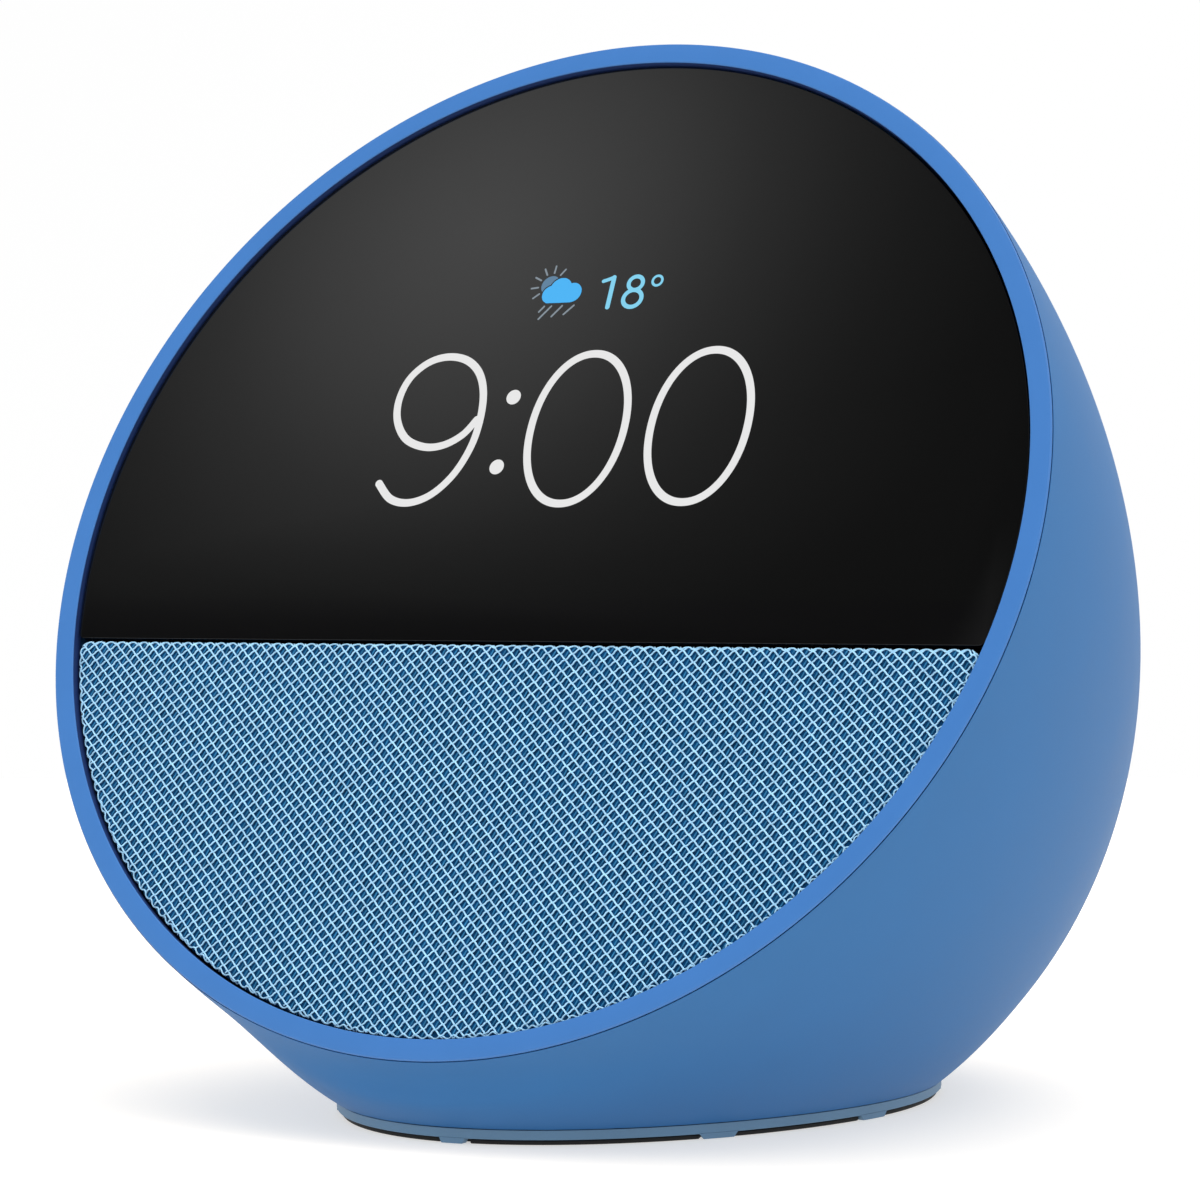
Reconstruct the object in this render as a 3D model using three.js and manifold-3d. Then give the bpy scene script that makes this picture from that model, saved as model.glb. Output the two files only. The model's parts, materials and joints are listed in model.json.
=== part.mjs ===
// Half-dome smart display, in millimetres. +Z is up, the face looks towards -Y, and the origin is
// the centre of the base on the table. Face parts are made in the face frame: X to the right,
// Y up along the face, Z out of the face, with the ring's front plane at Z = 0.
import * as THREE from 'three';
import { mergeVertices } from 'three/addons/utils/BufferGeometryUtils.js';
import Module from 'manifold-3d';

const wasm = await Module();
wasm.setup();

// ---------- driving dimensions ----------
const FACE_RADIUS = 56.5;
const FACE_TILT = THREE.MathUtils.degToRad(24.8);
const FACE_CENTRE = new THREE.Vector3(0, -27.95, 60);
const GAP = 0.3;

const DOME = { bulge: -0.503, sag: -0.151, swell: 5.45 };
const DOME_WALL = 2.1;
const DOME_RINGS = 13;
const DOME_SIDES = 60;
const FLARE = { forward: 8, widen: 0.03, height: 10, start: 10, middleY: 24, halfDepth: 38 };

const BEZEL = { inner: 54.23, outer: 56.35, thickness: 1.3 };
const CHORD_Y = -12.45;
const GLASS = { radius: 53.9, front: -0.6, thickness: 1.1, bottom: CHORD_Y + 0.1 };
const FABRIC = { radius: 53.8, front: -0.6, thickness: 0.5, top: CHORD_Y - 0.2, corner: 1.4 };
const GRILLE = { radius: 53.5, front: -1.4, thickness: 1.5, top: CHORD_Y - 0.8 };
const GASKET = { outer: 53.6, inner: 51.5, front: -2.0, back: -2.9 };
const LCD = { halfWidth: 31, bottom: -10.5, top: 37.5, front: -2.65, back: -4.85 };
const FRAME = { radius: 53.6, front: -4.2, back: -6.0, rimFront: -3.2, rimInner: 52.2 };

const SPEAKER = { y: -31.5, face: -7.6, flange: 21.5, opening: 18 };

const BRACKET = { halfWidth: 33, earX: 35.4, earY: [0, 20], bottom: -4, top: 36, front: -8.4, back: -9.6 };
const BOARD = { halfWidth: 34, bottom: -6, top: 38, front: -14.0, back: -15.6 };
const BOARD_SCREWS = [[-30, -1], [30, -1], [-30, 33], [30, 33]];
const FRAME_SCREWS = [[-40.6, 30.8], [40.6, 30.8], [-45.6, -22.8], [45.6, -22.8]];

const BUTTON = { spacing: 14, radius: 4.05, hole: 4.4, flange: 5.1, proud: 0.3, depthOnDome: 24 };
const SWITCH = { half: 3, bodyTop: -8.1, bodyBottom: -10.6, plungerTop: -7.3, plungerRadius: 1.6 };

const FOOT = { top: 1.35, bottom: 0.55, plateTop: 3.0, plateInset: 0.89, tabBottom: 0.05 };
const RUBBER = { edge: 0.4, middle: 0.9, outlineScale: 0.985, middleScale: 0.84 };
const SHELL_BOTTOM = FOOT.top + GAP;
const FLOOR = { bottom: 3.3, top: 5.3 };
const TAB_ANGLES = [-171, -139, -87, -41, -9, 35, 90, 145].map(THREE.MathUtils.degToRad);
const BASE_SCREWS = [[-19, 13], [19, 13], [-17, 46], [17, 46]];
const BALLAST = { y: 30, halfWidth: 18.5, halfDepth: 16, bottom: 5.6, top: 13.6 };

const POWER = { z: 20, face: 76.2, back: 64.7, barrel: 5.6, hole: 6.0 };
const POWER_BOARD = { halfWidth: 13, bottom: 14, top: 31, front: 62.7, back: 64.3 };

// ---------- frames ----------
const face = new THREE.Group();
face.rotation.x = Math.PI / 2 - FACE_TILT;
face.position.copy(FACE_CENTRE);
face.updateMatrixWorld(true);

const base = new THREE.Group();
base.position.y = FACE_CENTRE.y;
base.updateMatrixWorld(true);

const object = new THREE.Group();
object.add(face, base);

// ---------- materials ----------
const colour = (hex, roughness, metalness = 0) =>
  new THREE.MeshStandardMaterial({ color: hex, roughness, metalness });

const MATERIALS = {
  bluePlastic: colour(0x4a86c8, 0.45),
  glass: colour(0x111214, 0.08),
  fabric: colour(0x6fb0e6, 0.9),
  darkPlastic: colour(0x16243a, 0.6),
  blackPlastic: colour(0x18191b, 0.5),
  foam: colour(0x2a2b2d, 0.95),
  rubber: colour(0x1d1f22, 0.9),
  steel: colour(0xa8abb0, 0.35, 1),
  aluminium: colour(0xc9ccd1, 0.4, 1),
  circuit: colour(0x14523a, 0.55),
  flex: colour(0xb56a1e, 0.5),
  paper: colour(0x26282b, 0.85),
  copper: colour(0xb8733a, 0.35, 1),
  magnet: colour(0x3a3c40, 0.5, 0.6),
  thermal: colour(0x8d95a0, 0.9),
  wire: colour(0x8c1f1f, 0.6),
};

// ---------- booleans ----------
function toSolid(geometry) {
  let bare = geometry.clone();
  bare.deleteAttribute('normal');
  bare.deleteAttribute('uv');
  bare = mergeVertices(bare, 1e-5);
  const vertProperties = new Float32Array(bare.attributes.position.array);
  const triVerts = new Uint32Array(bare.index.array);
  return new wasm.Manifold(new wasm.Mesh({ numProp: 3, vertProperties, triVerts }));
}

function toGeometry(solid) {
  const mesh = solid.getMesh();
  const geometry = new THREE.BufferGeometry();
  geometry.setAttribute('position', new THREE.BufferAttribute(new Float32Array(mesh.vertProperties), 3));
  geometry.setIndex(new THREE.BufferAttribute(new Uint32Array(mesh.triVerts), 1));
  geometry.computeVertexNormals();
  return geometry;
}

function combine(start, { add = [], cut = [], keep = [] }) {
  let solid = toSolid(start);
  for (const geometry of add) solid = solid.add(toSolid(geometry));
  for (const geometry of cut) solid = solid.subtract(toSolid(geometry));
  for (const geometry of keep) solid = solid.intersect(toSolid(geometry));
  return toGeometry(solid);
}

// ---------- shapes ----------
function box(x0, x1, y0, y1, z0, z1) {
  const geometry = new THREE.BoxGeometry(x1 - x0, y1 - y0, z1 - z0);
  return geometry.translate((x0 + x1) / 2, (y0 + y1) / 2, (z0 + z1) / 2);
}

function rod(radius, z0, z1, x = 0, y = 0, sides = 24) {
  const geometry = new THREE.CylinderGeometry(radius, radius, Math.abs(z1 - z0), sides);
  return geometry.rotateX(Math.PI / 2).translate(x, y, (z0 + z1) / 2);
}

// A body turned about Z from its profile of [radius, z] points, which run downwards on the outside.
function turned(profile, sides = 24) {
  const points = profile.map(([radius, z]) => new THREE.Vector2(radius, z));
  const isRing = profile.every(([radius]) => radius > 0);
  if (isRing) points.push(points[0].clone());
  const geometry = new THREE.LatheGeometry(points, sides);
  return geometry.rotateX(Math.PI / 2);
}

function slab(shape, z0, z1, curveSegments = 24) {
  const options = { depth: Math.abs(z1 - z0), bevelEnabled: false, curveSegments };
  return new THREE.ExtrudeGeometry(shape, options).translate(0, 0, Math.min(z0, z1));
}

// The part of a disc above a level chord (side = 1) or below it (side = -1).
function discSegment(radius, chordY, side, corner = 0) {
  const reach = Math.asin(chordY / radius);
  const shape = new THREE.Shape();
  if (side > 0) {
    shape.absarc(0, 0, radius, reach, Math.PI - reach, false);
  } else {
    const turn = corner / radius;
    const half = Math.sqrt(radius ** 2 - chordY ** 2);
    shape.absarc(0, 0, radius, Math.PI - reach + turn, 2 * Math.PI + reach - turn, false);
    shape.quadraticCurveTo(half, chordY, half - corner, chordY);
    shape.lineTo(corner - half, chordY);
    shape.quadraticCurveTo(-half, chordY, radius * Math.cos(Math.PI - reach + turn),
      radius * Math.sin(Math.PI - reach + turn));
  }
  shape.closePath();
  return shape;
}

function ellipseShape(centreY, halfWidth, halfDepth) {
  const shape = new THREE.Shape();
  shape.absellipse(0, centreY, halfWidth, halfDepth, 0, 2 * Math.PI, false, 0);
  return shape;
}

function tube(points, radius, steps = 10, sides = 6) {
  const curve = new THREE.CatmullRomCurve3(points.map((point) => new THREE.Vector3(...point)));
  const section = new THREE.Shape();
  section.absarc(0, 0, radius, 0, 2 * Math.PI, false);
  return new THREE.ExtrudeGeometry(section, { steps, extrudePath: curve, curveSegments: sides });
}

function screw(head, headHeight, shank, length) {
  return turned([[0, headHeight], [head, headHeight], [head, 0], [shank, 0], [shank, -length],
    [0, -length]].reverse(), 8);
}

function place(parent, name, geometry, material, { position = [0, 0, 0], turnX = 0 } = {}) {
  const mesh = new THREE.Mesh(geometry, material);
  mesh.name = name;
  mesh.position.set(...position);
  mesh.rotation.x = turnX;
  parent.add(mesh);
  return mesh;
}

// A shape made in the base frame, carried into the face frame.
function fromBase(geometry) {
  const matrix = face.matrixWorld.clone().invert().multiply(base.matrixWorld);
  return geometry.applyMatrix4(matrix);
}

// ---------- the dome ----------
// The dome is a swept-back ellipsoid through the ring: at each depth behind the face its section
// is a circle whose centre sinks as it goes back.
function domeSection(depth) {
  const centre = (DOME.sag * depth) / 2;
  const squared = FACE_RADIUS ** 2 + DOME.swell * depth - (1 + DOME.bulge) * depth ** 2 + centre ** 2;
  return { centre, radius: Math.sqrt(Math.max(squared, 0)) };
}

function domeDepth() {
  const a = 1 + DOME.bulge - (DOME.sag / 2) ** 2;
  return (DOME.swell + Math.sqrt(DOME.swell ** 2 + 4 * a * FACE_RADIUS ** 2)) / (2 * a);
}

const smooth = (value) => THREE.MathUtils.smoothstep(value, 0, 1);

const frontShare = (y) => Math.max(0, (FLARE.middleY - y) / FLARE.halfDepth) ** 2;

// The lowest part of the dome is drawn forwards and outwards to meet a foot larger than its section.
function flarePoint(point, depth) {
  const sin = Math.sin(FACE_TILT);
  const cos = Math.cos(FACE_TILT);
  const height = point.y * cos + point.z * sin;
  const backward = point.y * sin - point.z * cos;
  const footLevel = FACE_CENTRE.z - FOOT.top;
  const low = THREE.MathUtils.clamp((FLARE.height - height - footLevel) / FLARE.height, 0, 1);
  const amount = low ** 2 * smooth(depth / FLARE.start);
  const forward = FLARE.forward * amount * frontShare(backward);
  point.x *= 1 + FLARE.widen * amount;
  point.y -= forward * sin;
  point.z += forward * cos;
}

function domeSolid(scale = 1, sides = DOME_SIDES, rings = DOME_RINGS) {
  const full = domeDepth();
  const positions = [];
  const index = [];
  for (let ring = 0; ring < rings; ring += 1) {
    const depth = full * Math.sin((ring / rings) * (Math.PI / 2)) ** 1.25;
    const { centre, radius } = domeSection(depth);
    for (let side = 0; side < sides; side += 1) {
      const angle = (side / sides) * 2 * Math.PI;
      const point = new THREE.Vector3(radius * Math.cos(angle), centre + radius * Math.sin(angle), -depth);
      flarePoint(point, depth);
      positions.push(...point.multiplyScalar(scale).toArray());
    }
  }
  const tip = positions.length / 3;
  positions.push(0, (DOME.sag * full) / 2 * scale, -full * scale);
  positions.push(0, 0, 0);
  for (let side = 0; side < sides; side += 1) {
    const next = (side + 1) % sides;
    index.push(tip + 1, side, next);
    for (let ring = 0; ring < rings - 1; ring += 1) {
      const here = ring * sides;
      const below = here + sides;
      index.push(here + side, below + side, below + next);
      index.push(here + side, below + next, here + next);
    }
    const last = (rings - 1) * sides;
    index.push(last + side, tip, last + next);
  }
  const geometry = new THREE.BufferGeometry();
  geometry.setAttribute('position', new THREE.Float32BufferAttribute(positions, 3));
  geometry.setIndex(index);
  return geometry;
}

// The outline of the dome at a height above the table, as an ellipse in the base frame.
function outlineAt(z) {
  const sin = Math.sin(FACE_TILT);
  const cos = Math.cos(FACE_TILT);
  const h = z - FACE_CENTRE.z;
  const a = 1 + DOME.bulge * cos ** 2 - DOME.sag * sin * cos;
  const b = -2 * DOME.bulge * sin * cos * h + DOME.sag * (sin ** 2 - cos ** 2) * h - DOME.swell * cos;
  const c = h ** 2 * (1 + DOME.bulge * sin ** 2 + DOME.sag * sin * cos)
    - FACE_RADIUS ** 2 + DOME.swell * sin * h;
  const halfWidth = Math.sqrt(b ** 2 / (4 * a) - c);
  return { y: -b / (2 * a), halfWidth, halfDepth: halfWidth / Math.sqrt(a) };
}

// The foot's outline: the dome's ellipse at the foot, with the flare that the dome has there.
function footOutline(scale, sides = 48) {
  const { y, halfWidth, halfDepth } = outlineAt(FOOT.top);
  const points = [];
  for (let side = 0; side < sides; side += 1) {
    const angle = (side / sides) * 2 * Math.PI;
    const across = halfWidth * Math.cos(angle) * (1 + FLARE.widen);
    const back = y + halfDepth * Math.sin(angle);
    const forward = FLARE.forward * frontShare(back);
    points.push(new THREE.Vector2(across * scale, (back - forward - y) * scale + y));
  }
  return points;
}

const footShape = (scale, sides) => new THREE.Shape(footOutline(scale, sides));

// ---------- face parts ----------
function frontBezel() {
  const { inner, outer, thickness } = BEZEL;
  const profile = [[inner, -thickness], [outer - thickness + 0.1, -thickness], [outer, -0.1],
    [outer - 0.1, 0], [inner, 0]];
  place(face, 'front_bezel', turned(profile, 72), MATERIALS.bluePlastic);
}

function coverGlass() {
  const shape = discSegment(GLASS.radius, GLASS.bottom, 1);
  place(face, 'cover_glass', slab(shape, GLASS.front, GLASS.front - GLASS.thickness, 48), MATERIALS.glass);
}

function grilleFabric() {
  const shape = discSegment(FABRIC.radius, FABRIC.top, -1, FABRIC.corner);
  const geometry = slab(shape, FABRIC.front, FABRIC.front - FABRIC.thickness, 24);
  place(face, 'grille_fabric', geometry, MATERIALS.fabric);
}

function grilleFrame() {
  const slots = [];
  const rows = 7;
  for (let row = 0; row < rows; row += 1) {
    const y = GRILLE.top - 3 - row * 4.8;
    const reach = Math.sqrt((GRILLE.radius - 3.5) ** 2 - (y - 3) ** 2);
    for (const side of [-1, 1]) {
      const inner = side * 1.2;
      const outer = side * reach;
      slots.push(box(Math.min(inner, outer), Math.max(inner, outer), y - 3, y, -4, 0));
    }
  }
  const plate = slab(discSegment(GRILLE.radius, GRILLE.top, -1, 1), GRILLE.front,
    GRILLE.front - GRILLE.thickness, 30);
  place(face, 'grille_frame', combine(plate, { cut: slots }), MATERIALS.darkPlastic);
}

function displayGasket() {
  const outer = slab(discSegment(GASKET.outer, GLASS.bottom + 0.2, 1), GASKET.front, GASKET.back, 28);
  const inner = slab(discSegment(GASKET.inner, GLASS.bottom + 1.5, 1), 0, -4, 28);
  place(face, 'display_gasket', combine(outer, { cut: [inner] }), MATERIALS.foam);
}

function lcdPanel() {
  const panel = box(-LCD.halfWidth, LCD.halfWidth, LCD.bottom, LCD.top, LCD.back, LCD.front);
  const window = box(-28.8, 28.8, LCD.bottom + 2.6, LCD.top - 2, LCD.front - 0.2, 0);
  place(face, 'lcd_panel', combine(panel, { cut: [window] }), MATERIALS.steel);
}

function frontFrame() {
  const plate = rod(FRAME.radius, FRAME.back, FRAME.front, 0, 0, 48);
  const rim = rod(FRAME.radius, FRAME.front - 0.5, FRAME.rimFront, 0, 0, 48);
  const cut = [
    rod(FRAME.rimInner, FRAME.front, 0, 0, 0, 48),
    box(-LCD.halfWidth - 0.6, LCD.halfWidth + 0.6, LCD.bottom - 0.6, LCD.top + 0.6, -8, 0),
    rod(SPEAKER.opening, -8, 0, 0, SPEAKER.y, 36),
  ];
  for (const [x, y] of FRAME_SCREWS) {
    cut.push(rod(2.7, FRAME.front, 0, x, y, 12));
    cut.push(rod(1.3, -8, 0, x, y, 12));
  }
  place(face, 'front_frame', combine(plate, { add: [rim], cut }), MATERIALS.blackPlastic);
}

function frameScrews() {
  FRAME_SCREWS.forEach(([x, y], number) => {
    const geometry = screw(2.2, 0.85, 0.8, 10);
    place(face, `frame_screw_${number + 1}`, geometry, MATERIALS.steel,
      { position: [x, y, FRAME.front + GAP] });
  });
}

function displayFlex() {
  const path = [[-1.3, -13.05], [-7, -13.05], [-8.4, -11.6], [-8.4, -6.9], [-7, -5.3], [0, -5.3]];
  const thickness = 0.3;
  const outer = path.map(([y, z]) => [y, z]);
  const inner = [[0, -5.3 - thickness], [-6.9, -5.3 - thickness], [-8.1, -7], [-8.1, -11.5],
    [-6.9, -12.75], [-1.3, -12.75]];
  const shape = new THREE.Shape([...outer, ...inner].map(([y, z]) => new THREE.Vector2(y, z)));
  const geometry = new THREE.ExtrudeGeometry(shape, { depth: 13, bevelEnabled: false });
  const turn = new THREE.Matrix4().makeBasis(new THREE.Vector3(0, 1, 0), new THREE.Vector3(0, 0, 1),
    new THREE.Vector3(1, 0, 0));
  place(face, 'display_flex', geometry.applyMatrix4(turn).translate(-6.5, 0, 0), MATERIALS.flex);
}

// ---------- speaker ----------
function speaker() {
  const group = new THREE.Group();
  group.position.set(0, SPEAKER.y, SPEAKER.face);
  face.add(group);
  const { flange } = SPEAKER;

  place(group, 'speaker_gasket', turned([[18.4, GAP], [flange - 0.2, GAP], [flange - 0.2, 1.3], [18.4, 1.3]]),
    MATERIALS.foam);

  const basket = turned([[19.2, -1.2], [12.2, -12.2], [8.4, -12.2], [8.4, -13.4], [13.4, -13.4],
    [13.4, -12.2], [20.6, -1.5], [flange, -1.5], [flange, 0], [19.2, 0]]);
  const windows = [0, 1, 2].map((step) => {
    const slot = box(-30, 30, -4, 4, -10, -3.6);
    return slot.rotateZ((step * Math.PI) / 3);
  });
  place(group, 'speaker_basket', combine(basket, { cut: windows }), MATERIALS.steel);

  place(group, 'speaker_surround', turned([[16.6, -1.1], [18.9, -1.1], [18.9, -0.6], [18.4, 0.3],
    [17.7, 0.6], [17.1, 0.3], [16.6, -0.6]]), MATERIALS.rubber);
  place(group, 'speaker_cone', turned([[5.8, -7.9], [6.4, -7.9], [16.2, -1.2], [16.2, -0.7], [15.9, -0.7],
    [5.8, -7.4]]), MATERIALS.paper);
  place(group, 'dust_cap', turned([[0, -7.5], [5.4, -7.5], [5.4, -6.9], [4.4, -6.0], [2.4, -5.3],
    [0, -5.0]], 24), MATERIALS.paper);
  place(group, 'voice_coil', turned([[5.0, -15], [5.6, -15], [5.6, -8.2], [5.0, -8.2]], 24),
    MATERIALS.copper);
  place(group, 'speaker_magnet', turned([[0, -20.5], [13.5, -20.5], [13.5, -13.7], [6.4, -13.7],
    [6.4, -17.8], [4.4, -17.8], [4.4, -12.8], [0, -12.8]]), MATERIALS.magnet);
}

// ---------- electronics behind the display ----------
function boardBracket() {
  const { halfWidth, earX, earY, bottom, top, front, back } = BRACKET;
  const plate = box(-halfWidth, halfWidth, bottom, top, back, front);
  const add = [];
  const cut = [box(-20, 20, 4, 28, back - 0.5, front + 0.5)];
  for (const y of earY) {
    add.push(box(-earX - 2.4, earX + 2.4, y - 2.4, y + 2.4, back, front));
    for (const x of [-earX, earX]) add.push(rod(1.9, back, FRAME.back - GAP, x, y, 8));
  }
  for (const [x, y] of BOARD_SCREWS) {
    add.push(rod(2.3, BOARD.front + GAP, front, x, y, 10));
    cut.push(rod(1.0, BOARD.front, back - 0.2, x, y, 10));
  }
  place(face, 'board_bracket', combine(plate, { add, cut }), MATERIALS.blackPlastic);
}

function mainBoard() {
  const { halfWidth, bottom, top, front, back } = BOARD;
  const board = box(-halfWidth, halfWidth, bottom, top, back, front);
  const holes = BOARD_SCREWS.map(([x, y]) => rod(1.3, back - 1, front + 1, x, y, 10));
  place(face, 'main_board', combine(board, { cut: holes }), MATERIALS.circuit);
  place(face, 'display_connector', box(-8, 8, -0.9, 3, front + GAP, front + 1.8), MATERIALS.blackPlastic);
}

function boardScrews() {
  BOARD_SCREWS.forEach(([x, y], number) => {
    place(face, `board_screw_${number + 1}`, screw(1.9, 0.8, 0.7, 5), MATERIALS.steel,
      { position: [x, y, BOARD.back - GAP], turnX: Math.PI });
  });
}

function shieldAndHeatSpreader() {
  const can = box(-16, 16, 6, 32, -18.4, BOARD.back - GAP);
  const hollow = box(-15.6, 15.6, 6.4, 31.6, -18, 0);
  place(face, 'shield_can', combine(can, { cut: [hollow] }), MATERIALS.steel);
  place(face, 'thermal_pad', box(-12, 12, 9, 29, -19.5, -18.7), MATERIALS.thermal);
  const plate = box(-28, 28, 2, 37, -21, -19.8);
  const ribs = [-24, -12, 0, 12, 24].map((x) => box(x - 0.6, x + 0.6, 4, 35, -24.5, -20.9));
  place(face, 'heat_spreader', combine(plate, { add: ribs }), MATERIALS.aluminium);
}

function antennas() {
  for (const [name, side] of [['antenna_left', -1], ['antenna_right', 1]]) {
    const near = side * 38.6;
    const far = side * 45.6;
    place(face, name, box(Math.min(near, far), Math.max(near, far), 2, 21, -9.8, -9), MATERIALS.circuit);
  }
}

function speakerWires() {
  const path = [[13.5, -24, -20.3], [19, -21, -21.5], [25, -12, -20.5], [27, -4.5, -18.4], [27, -2, -16.5]];
  place(face, 'speaker_wires', tube(path, 0.8), MATERIALS.wire);
}

// ---------- buttons ----------
const buttons = new THREE.Group();

function buttonFrame() {
  const { centre, radius } = domeSection(BUTTON.depthOnDome);
  const point = new THREE.Vector3(0, centre + radius, -BUTTON.depthOnDome);
  const along = DOME.bulge * point.z + DOME.sag * point.y + DOME.swell;
  const normal = new THREE.Vector3(0, 2 * point.y + point.z * DOME.sag,
    2 * point.z + along + point.z * DOME.bulge).normalize();
  const across = new THREE.Vector3(1, 0, 0);
  const back = new THREE.Vector3().crossVectors(normal, across);
  const matrix = new THREE.Matrix4().makeBasis(across, back, normal).setPosition(point);
  matrix.decompose(buttons.position, buttons.quaternion, buttons.scale);
  face.add(buttons);
  buttons.updateMatrixWorld(true);
}

const intoButtons = (geometry) => geometry.applyMatrix4(buttons.matrix.clone().invert());
const fromButtons = (geometry) => geometry.applyMatrix4(buttons.matrix);

const BUTTONS = [['volume_up', 1], ['volume_down', -1], ['mic_off', 0]];

function buttonCaps() {
  const proudDome = intoButtons(domeSolid(1 + BUTTON.proud / FACE_RADIUS));
  for (const [name, step] of BUTTONS) {
    const x = step * BUTTON.spacing;
    const cap = rod(BUTTON.radius, -6, 4, x, 0, 20);
    const flange = rod(BUTTON.flange, -6.7, -5.9, x, 0, 20);
    const body = combine(cap, { keep: [proudDome] });
    place(buttons, `button_${name}`, combine(flange, { add: [body] }), MATERIALS.bluePlastic);
  }
}

function buttonSwitches() {
  const { half, bodyTop, bodyBottom, plungerTop, plungerRadius } = SWITCH;
  for (const [name, step] of BUTTONS) {
    const x = step * BUTTON.spacing;
    const body = box(x - half, x + half, -half, half, bodyBottom, bodyTop);
    const plunger = rod(plungerRadius, bodyTop - 0.5, plungerTop, x, 0, 12);
    place(buttons, `switch_${name}`, combine(body, { add: [plunger] }), MATERIALS.blackPlastic);
  }
  place(buttons, 'button_board', box(-21, 21, -5, 5, bodyBottom - 1.5, bodyBottom - GAP), MATERIALS.circuit);
  place(buttons, 'mic_board', box(-12, 12, -15, -9, -8.4, -7.4), MATERIALS.circuit);
}

// ---------- shell ----------
function seamCutter() {
  const { outer, thickness } = BEZEL;
  const back = -thickness - GAP;
  const foot = outer - thickness + 0.15;
  return turned([[0, back], [foot, back], [foot + 7, back + 7], [foot + 7, 9], [0, 9]], DOME_SIDES);
}

function shellHollow() {
  const inner = domeSolid((FACE_RADIUS - DOME_WALL) / FACE_RADIUS, 44, 10);
  const aboveFloor = fromBase(box(-80, 80, -60, 120, FLOOR.top, 130));
  return combine(inner, { keep: [aboveFloor] });
}

function rearShell() {
  const below = fromBase(box(-80, 80, -60, 120, -20, SHELL_BOTTOM));
  const recess = fromBase(slab(footShape(0.9, 36), 0, FLOOR.bottom));
  const outer = domeSolid();

  const bosses = FRAME_SCREWS.map(([x, y]) => rod(4.2, -18, FRAME.back - GAP, x, y, 12));
  const floorBosses = BASE_SCREWS.map(([x, y]) => fromBase(rod(3, FLOOR.top - 1, 11, x, y, 10)));

  const cut = [
    ...FRAME_SCREWS.map(([x, y]) => rod(1.1, -16, 0, x, y, 10)),
    ...BASE_SCREWS.map(([x, y]) => fromBase(rod(1.1, 0, 10, x, y, 10))),
    fromBase(rod(POWER.hole, 60, 95, 0, 0, 24).rotateX(-Math.PI / 2).translate(0, 0, POWER.z)),
    ...BUTTONS.map(([, step]) => fromButtons(rod(BUTTON.hole, -7, 6, step * BUTTON.spacing, 0, 20))),
    ...[-8, 8].map((x) => fromButtons(rod(0.6, -6.5, 6, x, -12, 8))),
    seamCutter(), below, recess,
  ];
  const walls = combine(outer, { cut: [shellHollow()] });
  const body = combine(walls, { add: [...bosses, ...floorBosses], cut, keep: [outer] });
  place(face, 'rear_shell', body, MATERIALS.bluePlastic);
}

// ---------- base ----------
function footPlate() {
  const rimShape = footShape(1);
  const rim = slab(rimShape, FOOT.bottom, FOOT.top);
  const middle = slab(footShape(FOOT.plateInset, 36), FOOT.top - 0.2, FOOT.plateTop);
  const hollow = slab(footShape(RUBBER.middleScale + 0.02, 36), 0, 1.2);
  const outline = footOutline(1);
  const tabs = TAB_ANGLES.map((angle) => {
    const count = outline.length;
    const near = outline[Math.round(((angle / (2 * Math.PI)) * count + count) % count) % count];
    const tab = box(-3, 1, -1.9, 1.9, FOOT.tabBottom, FOOT.bottom + 0.2);
    const heading = Math.atan2(near.y - FLARE.middleY, near.x);
    return tab.rotateZ(heading).translate(near.x, near.y, 0);
  });
  const clip = slab(rimShape, 0, FOOT.plateTop + 1);
  const cut = [hollow];
  for (const [x, y] of BASE_SCREWS) {
    cut.push(rod(2.7, 0, 2.2, x, y, 12), rod(1.5, 0, 5, x, y, 12));
  }
  place(base, 'foot_plate', combine(rim, { add: [middle, ...tabs], cut, keep: [clip] }),
    MATERIALS.bluePlastic);
}

function rubberFoot() {
  const edge = slab(footShape(RUBBER.outlineScale), 0, RUBBER.edge);
  const middle = slab(footShape(RUBBER.middleScale, 36), RUBBER.edge - 0.1, RUBBER.middle);
  const outline = footOutline(1);
  const notches = TAB_ANGLES.map((angle) => {
    const count = outline.length;
    const near = outline[Math.round(((angle / (2 * Math.PI)) * count + count) % count) % count];
    const notch = box(-3.3, 3, -2.2, 2.2, -1, 2);
    const heading = Math.atan2(near.y - FLARE.middleY, near.x);
    return notch.rotateZ(heading).translate(near.x, near.y, 0);
  });
  place(base, 'rubber_foot', combine(edge, { add: [middle], cut: notches }), MATERIALS.rubber);
}

function baseScrews() {
  BASE_SCREWS.forEach(([x, y], number) => {
    place(base, `base_screw_${number + 1}`, screw(2.2, 0.7, 0.8, 7), MATERIALS.steel,
      { position: [x, y, 1.95], turnX: Math.PI });
  });
}

function ballast() {
  const shape = ellipseShape(BALLAST.y, BALLAST.halfWidth, BALLAST.halfDepth);
  place(base, 'ballast_plate', slab(shape, BALLAST.bottom, BALLAST.top, 40), MATERIALS.steel);
}

// ---------- power inlet ----------
const alongY = (geometry) => geometry.rotateX(-Math.PI / 2).translate(0, 0, POWER.z);

function powerInlet() {
  const { barrel, face: front, back } = POWER;
  const body = alongY(rod(barrel, back, front, 0, 0, 24));
  const bore = alongY(rod(2.75, front - 9, front + 1, 0, 0, 20));
  place(base, 'power_socket', combine(body, { cut: [bore] }), MATERIALS.blackPlastic);
  place(base, 'power_pin', alongY(rod(0.95, front - 8.7, front - 1.2, 0, 0, 12)), MATERIALS.steel);
  const board = POWER_BOARD;
  place(base, 'power_board', box(-board.halfWidth, board.halfWidth, board.front, board.back, board.bottom,
    board.top), MATERIALS.circuit);
  const path = [[8, 61.9, 27], [9, 49, 34], [10, 30, 42], [10, 19, 46.5], [10, 14.5, 49.5]];
  place(base, 'power_wires', tube(path, 0.9), MATERIALS.wire);
}

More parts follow.
